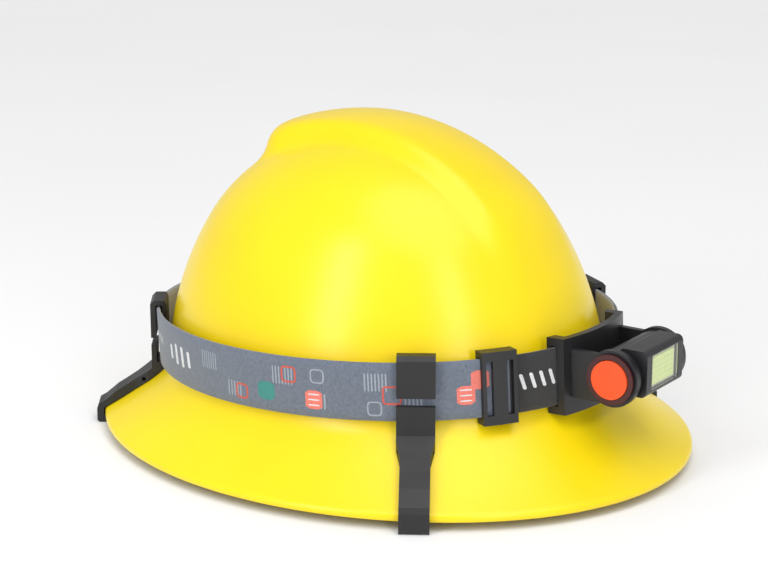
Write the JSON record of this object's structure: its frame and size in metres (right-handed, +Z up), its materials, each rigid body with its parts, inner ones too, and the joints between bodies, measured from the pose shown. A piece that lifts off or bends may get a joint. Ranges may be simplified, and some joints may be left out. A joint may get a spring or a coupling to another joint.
{
  "type": "bump cap",
  "caption": "Full-brim bump cap with a raised crown band, ratchet suspension, and a tilting headlamp on a strap held by brim clips.",
  "frame": {"origin": "centre of the dome's oval in plan, at the level of the clips' feet", "axes": "+Z up, front of the cap towards -Y, wearer's left towards +X"},
  "size_m": [0.264, 0.3168, 0.1645],
  "materials": {
    "shell": "satin",
    "crown_webbing": "woven",
    "suspension_key": "matte",
    "headband": "matte",
    "sweatband": "padded",
    "ratchet": "matte",
    "knob": "matte",
    "screw": "satin",
    "pad": "padded",
    "clip": "matte",
    "lamp_strap": "woven elastic",
    "lamp_body": "matte",
    "button": "satin",
    "bezel": "satin",
    "board": "matte",
    "emitter": "satin",
    "lens": "clear",
    "cell": "satin"
  },
  "bodies": {
    "cap": {"shell": "shell", "crown_strap_a": "crown_webbing", "crown_strap_b": "crown_webbing", "key_front_left": "suspension_key", "key_front_right": "suspension_key", "key_back_left": "suspension_key", "key_back_right": "suspension_key", "headband": "headband", "sweatband": "sweatband", "ratchet_housing": "ratchet", "ratchet_cover": "ratchet", "cover_screws": "screw", "click_ring": "ratchet", "nape_pad": "pad", "clip_front_left": "clip", "clip_front_right": "clip", "clip_back_left": "clip", "clip_back_right": "clip", "lamp_strap": "lamp_strap", "lamp_bracket": "lamp_body"},
    "left_rack": {"nape_rack_left": "ratchet"},
    "right_rack": {"nape_rack_right": "ratchet"},
    "knob": {"ratchet_knob": "knob", "pinion": "ratchet", "knob_screw": "screw"},
    "slider": {"strap_slider": "clip"},
    "lamp": {"lamp_housing": "lamp_body", "end_cap": "lamp_body", "button_bezel": "bezel", "dome_switch": "board", "switch_board": "board", "battery_cell": "cell", "cob_board": "board", "cob_emitter": "emitter", "cob_lens": "lens"},
    "button": {"power_button": "button"}
  },
  "joints": [
    {"name": "knob_turn", "type": "hinge", "parent": "cap", "child": "knob", "pos_m": [0, 0.1, 0.022], "axis": [0, 1, 0], "range_deg": [-100, 100]},
    {"name": "rack_left_slide", "type": "slide", "parent": "cap", "child": "left_rack", "axis": [1, 0, 0], "range_m": [-0.009, 0.009]},
    {"name": "rack_right_slide", "type": "slide", "parent": "cap", "child": "right_rack", "axis": [-1, 0, 0], "range_m": [-0.009, 0.009]},
    {"name": "slider_slide", "type": "slide", "parent": "cap", "child": "slider", "axis": [0.7885, -0.6146, 0.023], "range_m": [-0.003, 0.003]},
    {"name": "lamp_tilt", "type": "hinge", "parent": "cap", "child": "lamp", "pos_m": [0, -0.145, 0.059], "axis": [1, 0, 0], "range_deg": [-30, 60]},
    {"name": "power_button_press", "type": "slide", "parent": "lamp", "child": "button", "axis": [1, 0, 0], "range_m": [0, 0.0012], "stiffness_N_per_m": 1500, "springref_m": -0.0005}
  ],
  "couplings": [
    {"joint": "rack_left_slide", "follows": "knob_turn", "m_per_rad": 0.005},
    {"joint": "rack_right_slide", "follows": "knob_turn", "m_per_rad": 0.005}
  ]
}
